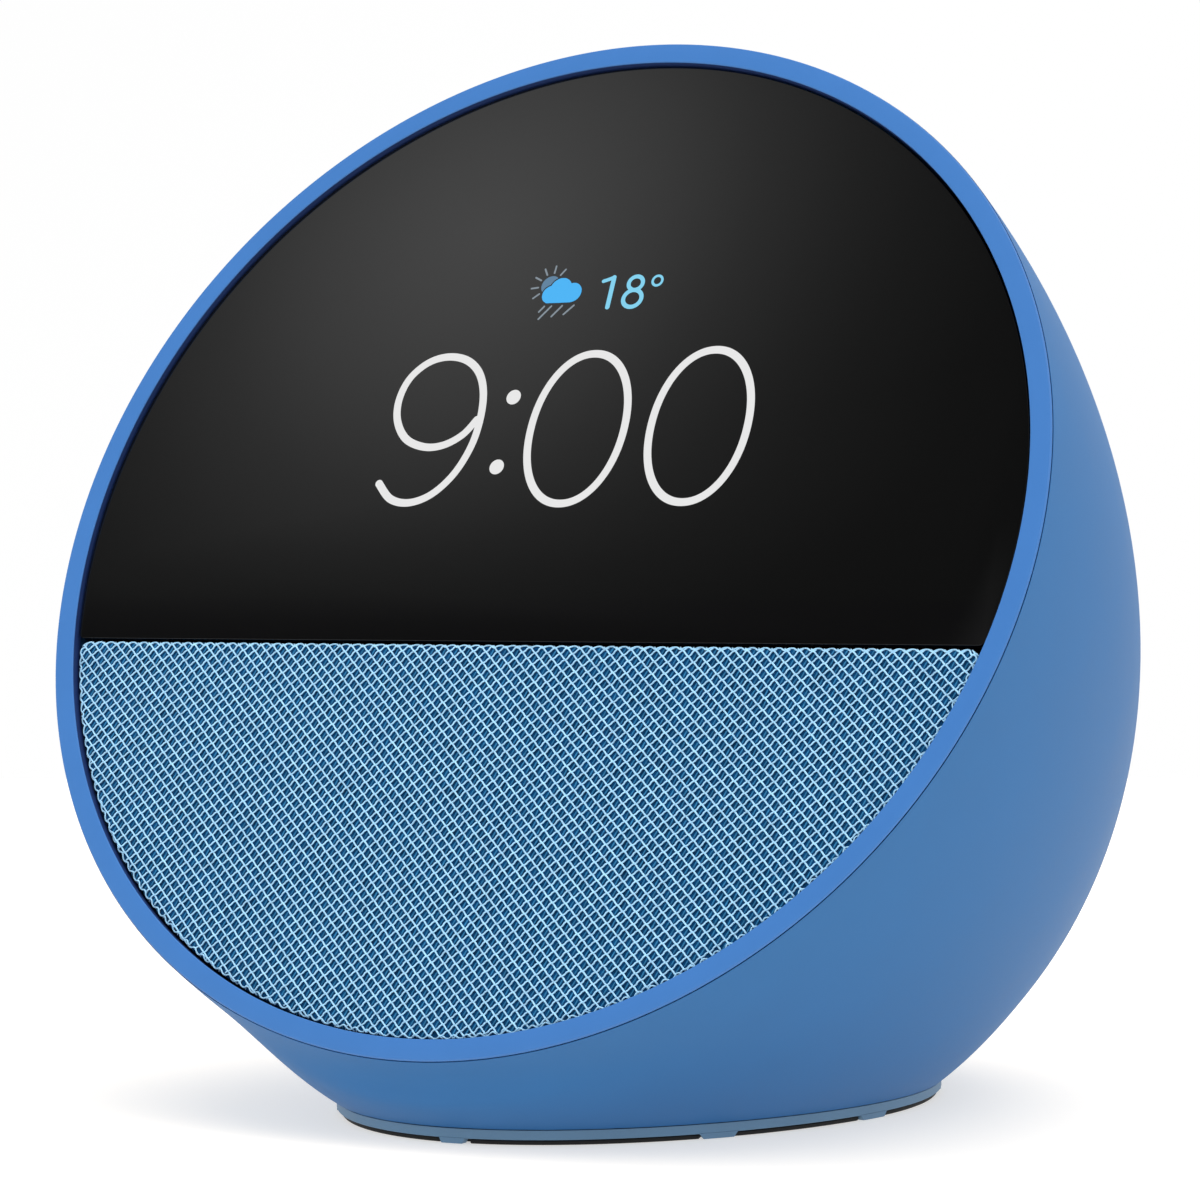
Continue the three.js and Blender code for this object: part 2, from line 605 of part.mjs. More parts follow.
// ---------- assembly ----------
buttonFrame();
frontBezel();
coverGlass();
grilleFabric();
grilleFrame();
displayGasket();
lcdPanel();
frontFrame();
frameScrews();
displayFlex();
speaker();
boardBracket();
mainBoard();
boardScrews();
shieldAndHeatSpreader();
antennas();
speakerWires();
buttonCaps();
buttonSwitches();
rearShell();
footPlate();
rubberFoot();
baseScrews();
ballast();
powerInlet();

export default object;
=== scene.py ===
import json
import math

import bpy
import numpy as np
from mathutils import Matrix, Vector, noise
from mathutils.bvhtree import BVHTree
from mathutils.interpolate import poly_3d_calc


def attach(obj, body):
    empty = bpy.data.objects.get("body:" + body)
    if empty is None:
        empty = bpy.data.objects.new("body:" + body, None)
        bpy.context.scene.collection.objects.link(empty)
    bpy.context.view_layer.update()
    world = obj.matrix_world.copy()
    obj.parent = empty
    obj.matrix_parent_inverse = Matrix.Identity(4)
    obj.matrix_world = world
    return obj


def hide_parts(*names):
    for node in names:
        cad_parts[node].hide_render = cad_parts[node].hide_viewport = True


# Looks of the half-dome smart display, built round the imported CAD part. Sizes are in millimetres, and
# the frame matrices scale them to metres. Face pieces are made in the face frame: X to the right, Y up
# along the face, Z out of it, with the ring's front plane at Z = 0.
MM = 0.001
TILT = math.radians(24.8)
NORMAL = Vector((0, -math.cos(TILT), math.sin(TILT)))
UP = Vector((0, math.sin(TILT), math.cos(TILT)))

FACE_RADIUS = 56.5
GAP = 0.3
DOME = {"bulge": -0.503, "sag": -0.151, "swell": 5.45}
DOME_WALL = 2.1
FLARE = {"forward": 8, "widen": 0.03, "height": 10, "start": 10, "middle": 24, "half": 38}
CENTRE_HEIGHT = 60.0
SEAM = {"ring": 0.15, "foot": 0.1}

BEZEL = {"inner": 54.23, "outer": 56.35, "thickness": 1.3}
CHORD_Y = -12.45
GLASS = {"radius": 53.9, "front": -0.6, "thickness": 1.1, "bottom": CHORD_Y + 0.1}
CLOTH = {"radius": 54.0, "top": CHORD_Y - 0.13, "corner": 1.4, "front": -0.92, "thickness": 0.22}
KNIT = {"width": 1.42, "height": 1.235, "thread": 0.088, "strand": 0.085, "edge_round": 0.4}

BUTTON = {"spacing": 14, "radius": 4.05, "hole": 4.4, "flange": 5.1, "proud": 0.3, "depth": 24,
          "edge": 0.45, "dish": 0.1, "dish_radius": 3.6}
BUTTON_FLANGE = (-6.7, -5.9)
MIC_HOLE = {"radius": 0.6, "aside": 8, "ahead": 12}

FOOT = {"top": 1.5, "bottom": 0.55, "plate_top": 3.0, "inset": 0.89, "tab_bottom": 0.05}
RUBBER = {"edge": 0.4, "middle": 0.9, "scale": 0.985, "inner": 0.84}
TAB = {"lower_half": 1.5, "upper_half": 1.9, "depth": 1}
NOTCH = {"depth": 1.2, "reach": 0.046, "blur": 0.008}
FLOOR_TOP = 5.3
PLATE_RECESS = (0.9, 3.3)
TAB_ANGLES = [math.radians(a) for a in (-171, -139, -87, -41, -9, 35, 90, 145)]
POWER = {"z": 20, "face": 76.2, "back": 64.7, "barrel": 5.6, "hole": 6.0, "bore": 2.75}

LIT_AREA = {"bottom": -7.8, "blur": 0.35}
GLOW_FROM = (-0.548, -0.391, 0.74)
GLOW_SPAN = 90
GLOW = [(0, 1.15), (2.5, 1.0), (5.5, 0.74), (8.2, 0.46), (11, 0.27), (13.2, 0.17), (16.5, 0.085),
        (21, 0.05), (40, 0.95), (90, 1.0)]
FLOOR = {"radii": (700, 300, 120), "z": -0.03, "glow": 0.53}
CAMERA = {"lens": 119.2, "azimuth": 29.92, "elevation": 0.23, "from_face": (206.03, -342.97, -5.76)}
LIGHT_AIM = (0, 0, 0.05)

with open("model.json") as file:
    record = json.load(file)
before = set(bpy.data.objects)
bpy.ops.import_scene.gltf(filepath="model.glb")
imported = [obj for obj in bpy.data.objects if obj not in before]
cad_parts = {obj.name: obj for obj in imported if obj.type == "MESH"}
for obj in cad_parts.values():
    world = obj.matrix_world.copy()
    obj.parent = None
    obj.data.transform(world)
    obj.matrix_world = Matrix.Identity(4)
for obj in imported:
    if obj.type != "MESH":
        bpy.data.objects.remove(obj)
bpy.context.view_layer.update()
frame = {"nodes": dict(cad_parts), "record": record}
nodes = frame["nodes"]


# ---------- frames ----------
def ring_centre():
    """The middle of the ring's front plane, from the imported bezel."""
    points = np.array([v.co for v in nodes["front_bezel"].data.vertices])
    along = points @ np.array(NORMAL)
    up = points @ np.array(UP)
    middle_up = (up.min() + up.max()) / 2
    return NORMAL * float(along.max()) + UP * float(middle_up)


FACE_CENTRE = ring_centre()


def frame_matrix(x_axis, y_axis, z_axis, origin):
    matrix = Matrix((x_axis, y_axis, z_axis)).transposed().to_4x4()
    matrix.translation = origin
    return matrix @ Matrix.Scale(MM, 4)


FACE = frame_matrix(Vector((1, 0, 0)), UP, NORMAL, FACE_CENTRE)
BASE = frame_matrix(Vector((1, 0, 0)), Vector((0, 1, 0)), Vector((0, 0, 1)), Vector((0, FACE_CENTRE.y, 0)))


# ---------- mesh helpers ----------
def make_object(name, verts, faces, matrix, material, smooth=True):
    mesh = bpy.data.meshes.new(name)
    mesh.from_pydata([tuple(v) for v in verts], [], [tuple(f) for f in faces])
    mesh.transform(matrix)
    mesh.update()
    if smooth:
        mesh.shade_smooth()
    obj = bpy.data.objects.new(name, mesh)
    bpy.context.scene.collection.objects.link(obj)
    if material:
        obj.data.materials.append(material)
    return obj


def loft(rows, close_start=True, close_end=True):
    """Skin between rows of points that run anticlockwise; the first row's cap faces away from the rest."""
    count = len(rows[0])
    verts = [tuple(p) for row in rows for p in row]
    faces = []
    for r in range(len(rows) - 1):
        a, b = r * count, (r + 1) * count
        for i in range(count):
            j = (i + 1) % count
            faces.append((a + i, a + j, b + j, b + i))
    if close_start:
        faces.append(tuple(reversed(range(count))))
    if close_end:
        last = (len(rows) - 1) * count
        faces.append(tuple(last + i for i in range(count)))
    return verts, faces


def circle(radius, z, sides):
    return [(radius * math.cos(2 * math.pi * i / sides), radius * math.sin(2 * math.pi * i / sides), z)
            for i in range(sides)]


def revolve(profile, sides=64, closed=False):
    """Turns [radius, z] points about Z. A profile that climbs on the outside faces outwards."""
    rows = [circle(radius, z, sides) for radius, z in profile]
    if closed:
        rows.append(rows[0])
        verts, faces = loft(rows, False, False)
        first_of_last = (len(rows) - 1) * sides
        faces = [tuple(v - first_of_last if v >= first_of_last else v for v in f) for f in faces]
        return verts[:first_of_last], faces
    return loft(rows)


def sharp_by_angle(obj, degrees=35):
    mesh = obj.data
    mesh.shade_smooth()
    mesh.set_sharp_from_angle(angle=math.radians(degrees))


def cutter(verts, faces, matrix):
    return make_object("cutter", verts, faces, matrix, None, smooth=False)


def boolean(target, tool, operation):
    modifier = target.modifiers.new("cut", "BOOLEAN")
    modifier.object = tool
    modifier.operation = operation
    modifier.solver = "MANIFOLD"
    depsgraph = bpy.context.evaluated_depsgraph_get()
    result = bpy.data.meshes.new_from_object(target.evaluated_get(depsgraph))
    old = target.data
    target.modifiers.clear()
    target.data = result
    bpy.data.meshes.remove(old)
    bpy.data.objects.remove(tool)


def cylinder(radius, z0, z1, sides=64):
    return revolve([(radius, z0), (radius, z1)], sides)


def block(x0, x1, y0, y1, z0, z1):
    return loft([[(x0, y0, z), (x1, y0, z), (x1, y1, z), (x0, y1, z)] for z in (z0, z1)])


def along_y(points):
    """Turns a body made along Z so that it lies along +Y at the power socket's height."""
    return [(x, z, -y + POWER["z"]) for x, y, z in points]


# ---------- materials ----------
def linear(rgb):
    def channel(value):
        value /= 255
        return value / 12.92 if value <= 0.04045 else ((value + 0.055) / 1.055) ** 2.4

    return (*[channel(v) for v in rgb], 1.0)


def start_material(name):
    made = bpy.data.materials.new(name)
    made.use_nodes = True
    return made, made.node_tree, made.node_tree.nodes["Principled BSDF"]


def put(node, **values):
    """Sets inputs by name; an underscore stands for a space."""
    for key, value in values.items():
        node.inputs[key.replace("_", " ")].default_value = value


def noise_node(tree, place, scale, detail=2):
    node = tree.nodes.new("ShaderNodeTexNoise")
    put(node, Scale=scale, Detail=detail)
    if place:
        tree.links.new(place, node.inputs["Vector"])
    return node.outputs["Fac"]


def two_tone(tree, share, target, first, second, ends=(0, 1)):
    ramp = tree.nodes.new("ShaderNodeValToRGB")
    for element, position, colour in zip(ramp.color_ramp.elements, ends, (first, second)):
        element.position = position
        element.color = (*colour[:3], 1)
    tree.links.new(share, ramp.inputs["Fac"])
    tree.links.new(ramp.outputs["Color"], target)


def raise_bumps(tree, height, distance_mm, shader):
    bump = tree.nodes.new("ShaderNodeBump")
    put(bump, Distance=distance_mm * MM)
    tree.links.new(height, bump.inputs["Height"])
    tree.links.new(bump.outputs["Normal"], shader.inputs["Normal"])


def object_place(tree, scale):
    """Object coordinates in millimetres, stretched by scale."""
    place = tree.nodes.new("ShaderNodeTexCoord")
    mapping = tree.nodes.new("ShaderNodeMapping")
    mapping.inputs["Scale"].default_value = [s / MM for s in scale]
    tree.links.new(place.outputs["Object"], mapping.inputs["Vector"])
    return mapping.outputs["Vector"]


def material(name, rgb, roughness=0.5, metallic=0.0, mottle=0.06, mottle_mm=8.0, grain_mm=0.12,
             grain_height=0.006, rough_change=0.04, stretch=(1, 1, 1), specular=0.5, sheen=0.0):
    """Moulded or metal surface: slow colour variation, fine grain in the bump, uneven roughness."""
    made, tree, shader = start_material(name)
    put(shader, Metallic=metallic, Specular_IOR_Level=specular)
    if sheen:
        put(shader, Sheen_Weight=sheen, Sheen_Roughness=0.4)
    place = object_place(tree, stretch)
    slow = noise_node(tree, place, 1 / mottle_mm, 3)
    colour = linear(rgb)[:3]
    two_tone(tree, slow, shader.inputs["Base Color"], [c * (1 - mottle) for c in colour],
             [min(1, c * (1 + mottle)) for c in colour], (0.3, 0.7))
    spread = tree.nodes.new("ShaderNodeMapRange")
    put(spread, To_Min=max(0.02, roughness - rough_change), To_Max=min(1.0, roughness + rough_change))
    tree.links.new(slow, spread.inputs["Value"])
    tree.links.new(spread.outputs["Result"], shader.inputs["Roughness"])
    raise_bumps(tree, noise_node(tree, place, 1 / grain_mm), grain_height, shader)
    return made


def glowing(name, rgb, strength):
    """A lit part of the picture on the screen, with the screen's fine dots in its brightness."""
    made, tree, shader = start_material(name)
    colour = linear(rgb)
    put(shader, Roughness=0.3, Specular_IOR_Level=0.2, Emission_Strength=strength,
        Base_Color=(*[c * 0.02 for c in colour[:3]], 1))
    place = tree.nodes.new("ShaderNodeTexCoord")
    dots = noise_node(tree, place.outputs["Object"], 1 / (0.12 * MM))
    two_tone(tree, dots, shader.inputs["Emission Color"], [c * 0.95 for c in colour[:3]], colour)
    return made


def screen_glass():
    """Black-backed glass. Below the lit area the backing is a shade darker."""
    made, tree, shader = start_material("cover_glass_black")
    put(shader, Roughness=0.06, IOR=1.5)
    place = object_place(tree, (1, 1, 1))
    height = tree.nodes.new("ShaderNodeVectorMath")
    height.operation = "DOT_PRODUCT"
    height.inputs[1].default_value = UP
    tree.links.new(place, height.inputs[0])
    edge = FACE_CENTRE.dot(UP) / MM + LIT_AREA["bottom"]
    span = tree.nodes.new("ShaderNodeMapRange")
    span.interpolation_type = "SMOOTHSTEP"
    put(span, From_Min=edge - LIT_AREA["blur"], From_Max=edge + LIT_AREA["blur"])
    tree.links.new(height.outputs["Value"], span.inputs["Value"])
    two_tone(tree, span.outputs["Result"], shader.inputs["Base Color"], (0.0018, 0.0018, 0.0020),
             (0.0021, 0.0022, 0.0022))
    raise_bumps(tree, noise_node(tree, place, 1 / 14), 0.004, shader)
    return made


BLUE_RING = material("bezel_satin_blue", (51, 109, 176), roughness=0.42, mottle=0.02, grain_mm=0.1,
                     grain_height=0.003)
BLUE_SHELL = material("shell_satin_blue", (52, 105, 159), roughness=0.55, mottle=0.02, grain_mm=0.11,
                      grain_height=0.004, specular=0.15)
BLUE_FOOT = material("foot_matt_blue", (86, 122, 152), roughness=0.55, mottle=0.04, grain_height=0.005)
BLUE_BUTTON = material("button_satin_blue", (52, 105, 159), roughness=0.5, mottle=0.02, grain_height=0.003,
                       specular=0.15)
# Dark navy for the ring's inner wall: painted shade for the wall and the gap beside the glass lying in
# shadow.
RING_WALL_PAINTED_SHADE = material("ring_inner_wall_painted_shade", (18, 42, 92), roughness=0.6, mottle=0.05)
SYMBOL = material("button_symbol_pale", (150, 192, 232), roughness=0.5, mottle=0.03)
CLOTH_DARK = material("grille_backing_teal", (8, 62, 104), roughness=0.9, mottle=0.4, mottle_mm=1.1,
                      grain_mm=0.1, grain_height=0.05, specular=0.08)
THREAD_PALE = material("grille_thread_pale", (158, 208, 242), roughness=0.75, mottle=0.16, mottle_mm=0.9,
                       grain_mm=0.07, grain_height=0.02, sheen=0.25)
THREAD_MID = material("grille_filament_mid", (44, 112, 156), roughness=0.8, mottle=0.35, mottle_mm=1.0,
                      grain_mm=0.07, grain_height=0.02, specular=0.15)
RUBBER_BLACK = material("foot_rubber_black", (13, 13, 14), roughness=0.85, mottle=0.15, grain_mm=0.2,
                        grain_height=0.02)
SOCKET_BLACK = material("socket_black", (22, 23, 25), roughness=0.45, mottle=0.08, grain_height=0.004)
GLASS_BLACK = screen_glass()
DIGIT_WHITE = glowing("digits_white", (236, 236, 236), 0.95)
CLOUD_BLUE = glowing("cloud_blue", (78, 184, 250), 0.95)
SUN_GREY = glowing("sun_grey_blue", (104, 140, 170), 0.85)
RAY_GREY = glowing("rays_grey", (144, 156, 166), 0.85)
NUMBER_BLUE = glowing("numbers_light_blue", (134, 214, 244), 0.95)


# ---------- the dome ----------
def section(depth):
    centre = DOME["sag"] * depth / 2
    squared = FACE_RADIUS**2 + DOME["swell"] * depth - (1 + DOME["bulge"]) * depth**2 + centre**2
    return centre, math.sqrt(max(squared, 0))


def full_depth():
    a = 1 + DOME["bulge"] - (DOME["sag"] / 2) ** 2
    return (DOME["swell"] + math.sqrt(DOME["swell"] ** 2 + 4 * a * FACE_RADIUS**2)) / (2 * a)


def smooth(value):
    value = min(max(value, 0), 1)
    return value * value * (3 - 2 * value)


def front_share(y):
    return max(0, (FLARE["middle"] - y) / FLARE["half"]) ** 2


def flare(x, y, z, depth):
    """Draws the lowest part of the dome forwards and outwards to meet the foot."""
    sin, cos = math.sin(TILT), math.cos(TILT)
    height = y * cos + z * sin
    backward = y * sin - z * cos
    foot_level = CENTRE_HEIGHT - FOOT["top"]
    low = min(max((FLARE["height"] - height - foot_level) / FLARE["height"], 0), 1)
    amount = low**2 * smooth(depth / FLARE["start"])
    forward = FLARE["forward"] * amount * front_share(backward)
    return x * (1 + FLARE["widen"] * amount), y - forward * sin, z + forward * cos


def dome(scale=1.0, sides=240, rings=96):
    full = full_depth()
    rows = []
    for ring in range(rings):
        depth = full * math.sin(ring / rings * math.pi / 2) ** 1.25
        centre, radius = section(depth)
        row = []
        for side in range(sides):
            angle = 2 * math.pi * side / sides
            point = flare(radius * math.cos(angle), centre + radius * math.sin(angle), -depth, depth)
            row.append(tuple(scale * c for c in point))
        rows.append(row)
    verts, faces = loft(list(reversed(rows)), close_start=False, close_end=True)
    tip = len(verts)
    verts.append((0, scale * DOME["sag"] * full / 2, -scale * full))
    faces += [((side + 1) % sides, side, tip) for side in range(sides)]
    return verts, faces


def foot_ellipse():
    """Centre, half width and half depth of the dome's section at the foot, in the base frame."""
    sin, cos = math.sin(TILT), math.cos(TILT)
    h = FOOT["top"] - CENTRE_HEIGHT
    bulge, sag, swell = DOME["bulge"], DOME["sag"], DOME["swell"]
    a = 1 + bulge * cos**2 - sag * sin * cos
    b = -2 * bulge * sin * cos * h + sag * (sin**2 - cos**2) * h - swell * cos
    c = h**2 * (1 + bulge * sin**2 + sag * sin * cos) - FACE_RADIUS**2 + swell * sin * h
    half = math.sqrt(b**2 / (4 * a) - c)
    return -b / (2 * a), half, half / math.sqrt(a)


def foot_point(angle, scale=1.0, inward=0.0):
    middle, half_width, half_depth = foot_ellipse()
    x = half_width * math.cos(angle) * (1 + FLARE["widen"])
    back = middle + half_depth * math.sin(angle)
    y = back - FLARE["forward"] * front_share(back) - middle
    reach = math.hypot(x, y)
    scale *= 1 - inward / reach
    return x * scale, y * scale + middle


def foot_row(z, scale=1.0, inward=0.0, sides=256):
    row = []
    for side in range(sides):
        x, y = foot_point(2 * math.pi * side / sides, scale, inward)
        row.append((x, y, z))
    return row


# ---------- shell ----------
def button_frame():
    centre, radius = section(BUTTON["depth"])
    point = Vector((0, centre + radius, -BUTTON["depth"]))
    along = DOME["bulge"] * point.z + DOME["sag"] * point.y + DOME["swell"]
    normal = Vector((0, 2 * point.y + point.z * DOME["sag"], 2 * point.z + along + point.z * DOME["bulge"]))
    normal.normalize()
    across = Vector((1, 0, 0))
    matrix = Matrix((across, normal.cross(across), normal)).transposed().to_4x4()
    matrix.translation = point
    return FACE @ matrix


BUTTONS = button_frame()


def smooth_dome_normals(obj, dome_verts, dome_faces):
    """Gives the outer skin the normals of the uncut dome, so that the cuts leave no shading marks."""
    source = bpy.data.meshes.new("source")
    source.from_pydata(dome_verts, [], dome_faces)
    source.transform(FACE)
    source.update()
    points = [v.co.copy() for v in source.vertices]
    normals = [v.normal.copy() for v in source.vertices]
    polygons = [tuple(p.vertices) for p in source.polygons if len(p.vertices) < 5]
    tree = BVHTree.FromPolygons(points, polygons)
    mesh = obj.data
    mesh.shade_smooth()
    mesh.set_sharp_from_angle(angle=math.radians(32))
    custom = [Vector(n.vector) for n in mesh.corner_normals]
    near = {}
    for polygon in mesh.polygons:
        for loop in polygon.loop_indices:
            index = mesh.loops[loop].vertex_index
            if index not in near:
                spot, _, number, distance = tree.find_nearest(mesh.vertices[index].co, 0.00006)
                if spot is None:
                    near[index] = None
                else:
                    corners = polygons[number]
                    weights = poly_3d_calc([points[c] for c in corners], spot)
                    normal = Vector((0, 0, 0))
                    for corner, weight in zip(corners, weights):
                        normal += normals[corner] * weight
                    near[index] = normal.normalized()
            normal = near[index]
            if normal is not None and polygon.normal.dot(normal) > 0.9:
                custom[loop] = normal
    mesh.normals_split_custom_set(custom)
    bpy.data.meshes.remove(source)


def rear_shell():
    verts, faces = dome()
    shell = make_object("shell_smooth", verts, faces, FACE, BLUE_SHELL, smooth=False)

    hollow = make_object("hollow", *dome((FACE_RADIUS - DOME_WALL) / FACE_RADIUS, 160, 48), FACE, None, False)
    boolean(hollow, cutter(*block(-80, 80, -60, 120, FLOOR_TOP, 130), BASE), "INTERSECT")
    boolean(shell, hollow, "DIFFERENCE")

    hole_verts, hole_faces = cylinder(POWER["hole"], 60, 95, 96)
    boolean(shell, cutter(along_y(hole_verts), hole_faces, BASE), "DIFFERENCE")

    outer, thickness = BEZEL["outer"], BEZEL["thickness"]
    back = -thickness - GAP
    foot = outer - thickness + SEAM["ring"]
    seam = [(foot, back), (foot + 7, back + 7), (foot + 7, 9)]
    boolean(shell, cutter(*revolve(seam, 240), FACE), "DIFFERENCE")

    for step in (-1, 0, 1):
        tool_verts, tool_faces = cylinder(BUTTON["hole"], -7, 6, 72)
        moved = [(x + step * BUTTON["spacing"], y, z) for x, y, z in tool_verts]
        boolean(shell, cutter(moved, tool_faces, BUTTONS), "DIFFERENCE")
    for side in (-1, 1):
        tool_verts, tool_faces = cylinder(MIC_HOLE["radius"], -6.5, 6, 24)
        moved = [(x + side * MIC_HOLE["aside"], y - MIC_HOLE["ahead"], z) for x, y, z in tool_verts]
        boolean(shell, cutter(moved, tool_faces, BUTTONS), "DIFFERENCE")

    boolean(shell, cutter(*block(-80, 80, -60, 120, -20, FOOT["top"] + SEAM["foot"]), BASE), "DIFFERENCE")
    scale, top = PLATE_RECESS
    boolean(shell, cutter(*loft([foot_row(0, scale), foot_row(top, scale)]), BASE), "DIFFERENCE")
    smooth_dome_normals(shell, verts, faces)
    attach(shell, "housing")
    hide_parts("rear_shell")


# ---------- ring, glass ----------
def rounded(x, z, radius, start, stop, count=5):
    """Points on a small quarter of a circle, angles in degrees."""
    return [
        (x + radius * math.cos(math.radians(start + (stop - start) * i / count)),
         z + radius * math.sin(math.radians(start + (stop - start) * i / count)))
        for i in range(count + 1)
    ]


def front_bezel():
    inner, outer, thickness = BEZEL["inner"], BEZEL["outer"] + 0.1, BEZEL["thickness"]
    lip, nose = 0.14, 0.16
    profile = [(inner, -thickness), (outer - thickness + 0.27, -thickness), (outer - 0.02, -0.1 - nose)]
    profile += rounded(outer - nose, -nose, nose, 0, 90)
    profile += rounded(inner + lip, -lip, lip, 90, 180)
    ring = make_object("bezel_ring", *revolve(profile, 288, closed=True), FACE, BLUE_RING)
    sharp_by_angle(ring, 40)
    # The inner wall's faces get the dark navy material: painted shade where the wall lies in shadow beside
    # the glass.
    ring.data.materials.append(RING_WALL_PAINTED_SHADE)
    for polygon in ring.data.polygons:
        local = FACE.inverted() @ polygon.center
        if math.hypot(local.x, local.y) < inner + 0.02 and local.z < -lip:
            polygon.material_index = 1
    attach(ring, "housing")
    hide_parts("front_bezel")


def segment_outline(radius, chord, corner, inset, side, arc_points=160, corner_points=10, chord_points=60):
    """The edge of a disc's part above (side 1) or below (side -1) a level chord, moved inwards by inset."""
    level = side * chord
    swing = math.asin((level + corner) / (radius - corner))
    reach = (radius - corner) * math.cos(swing)
    points = []
    for i in range(arc_points):
        angle = swing + (math.pi - 2 * swing) * i / arc_points
        points.append(((radius - inset) * math.cos(angle), (radius - inset) * math.sin(angle)))
    for i in range(corner_points):
        angle = math.pi - swing + (math.pi / 2 + swing) * i / corner_points
        points.append((-reach + (corner - inset) * math.cos(angle),
                       level + corner + (corner - inset) * math.sin(angle)))
    for i in range(chord_points):
        points.append((-reach + 2 * reach * i / chord_points, level + inset))
    for i in range(corner_points):
        angle = -math.pi / 2 + (math.pi / 2 + swing) * i / corner_points
        points.append((reach + (corner - inset) * math.cos(angle),
                       level + corner + (corner - inset) * math.sin(angle)))
    if side < 0:
        points = [(x, -y) for x, y in reversed(points)]
    return points


def segment_slab(radius, chord, corner, side, front, thickness, edge):
    """A plate of that outline whose front edge is rounded over."""
    rows = [[(x, y, front - thickness) for x, y in segment_outline(radius, chord, corner, 0, side)]]
    for i in range(6):
        angle = math.pi / 2 * i / 5
        inset = edge * (1 - math.cos(angle))
        z = front - edge + edge * math.sin(angle)
        rows.append([(x, y, z) for x, y in segment_outline(radius, chord, corner, inset, side)])
    return loft(rows)


def cover_glass():
    slab = segment_slab(GLASS["radius"], GLASS["bottom"], 0.6, 1, GLASS["front"], GLASS["thickness"], 0.03)
    glass = make_object("screen_glass", *slab, FACE, GLASS_BLACK)
    sharp_by_angle(glass, 50)
    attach(glass, "housing")
    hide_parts("cover_glass")


# ---------- the picture on the screen ----------
PICTURE_Z = GLASS["front"] + 0.015
PICTURE_THICKNESS = 0.01


def curve_through(points, closed=False, steps=14):
    """Catmull-Rom points through a few given ones."""
    count = len(points)
    result = []
    spans = count if closed else count - 1
    for i in range(spans):
        if closed:
            p = [points[(i + k - 1) % count] for k in range(4)]
        else:
            p = [points[min(max(i + k - 1, 0), count - 1)] for k in range(4)]
        for step in range(steps):
            t = step / steps
            result.append(tuple(
                0.5 * (2 * p[1][a] + (p[2][a] - p[0][a]) * t
                       + (2 * p[0][a] - 5 * p[1][a] + 4 * p[2][a] - p[3][a]) * t * t
                       + (3 * p[1][a] - p[0][a] - 3 * p[2][a] + p[3][a]) * t**3)
                for a in (0, 1)))
    if not closed:
        result.append(tuple(points[-1][:2]))
    return result


def ellipse(x, y, half_width, half_height, count=96, power=2.0):
    """A closed ellipse; a power above 2 fills its shoulders out."""
    points = []
    for i in range(count):
        c, s = math.cos(2 * math.pi * i / count), math.sin(2 * math.pi * i / count)
        points.append((x + half_width * math.copysign(abs(c) ** (2 / power), c),
                       y + half_height * math.copysign(abs(s) ** (2 / power), s)))
    return points


def stroke(points, width, closed=False):
    """Outline pairs of a line of that width, with round ends."""
    count = len(points)
    left, right = [], []
    for i, (x, y) in enumerate(points):
        before = points[(i - 1) % count] if closed or i else points[0]
        after = points[(i + 1) % count] if closed or i < count - 1 else points[-1]
        dx, dy = after[0] - before[0], after[1] - before[1]
        size = math.hypot(dx, dy) or 1
        nx, ny = -dy / size * width / 2, dx / size * width / 2
        left.append((x + nx, y + ny))
        right.append((x - nx, y - ny))
    if closed:
        return left, right
    for ends, at, sign in ((0, 0, -1), (1, count - 1, 1)):
        centre = points[at]
        neighbour = points[1] if at == 0 else points[-2]
        dx, dy = centre[0] - neighbour[0], centre[1] - neighbour[1]
        size = math.hypot(dx, dy) or 1
        dx, dy = dx / size, dy / size
        for k in range(1, 7):
            swing = math.pi / 2 * k / 6
            out, across = width / 2 * math.sin(swing), width / 2 * math.cos(swing)
            ahead = (centre[0] + dx * out, centre[1] + dy * out)
            side = (-dy * across, dx * across)
            pair = ((ahead[0] + side[0], ahead[1] + side[1]), (ahead[0] - side[0], ahead[1] - side[1]))
            if at == 0:
                left.insert(0, pair[1])
                right.insert(0, pair[0])
            else:
                left.append(pair[0])
                right.append(pair[1])
    return left, right


def thicken(left, right, closed, lower, upper):
    """A thin solid from two edges of a stroke; lower and upper give z at a point."""
    count = len(left)
    verts = [(x, y, upper(x, y)) for x, y in left] + [(x, y, upper(x, y)) for x, y in right]
    verts += [(x, y, lower(x, y)) for x, y in left] + [(x, y, lower(x, y)) for x, y in right]
    faces = []
    for i in range(count if closed else count - 1):
        j = (i + 1) % count
        faces.append((i, count + i, count + j, j))
        faces.append((2 * count + j, 3 * count + j, 3 * count + i, 2 * count + i))
        faces.append((j, 2 * count + j, 2 * count + i, i))
        faces.append((count + i, 3 * count + i, 3 * count + j, count + j))
    return verts, faces


def join(parts):
    verts, faces = [], []
    for part_verts, part_faces in parts:
        start = len(verts)
        verts += part_verts
        faces += [tuple(start + i for i in face) for face in part_faces]
    return verts, faces


def flat_line(points, width, closed=False):
    left, right = stroke(points, width, closed)
    return thicken(left, right, closed, lambda x, y: PICTURE_Z, lambda x, y: PICTURE_Z + PICTURE_THICKNESS)


def flat_patch(outline):
    rows = [[(x, y, z) for x, y in outline] for z in (PICTURE_Z, PICTURE_Z + PICTURE_THICKNESS)]
    return loft(rows)


def picture(name, parts, look):
    obj = make_object(name, *join(parts), FACE, look, smooth=False)
    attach(obj, "housing")


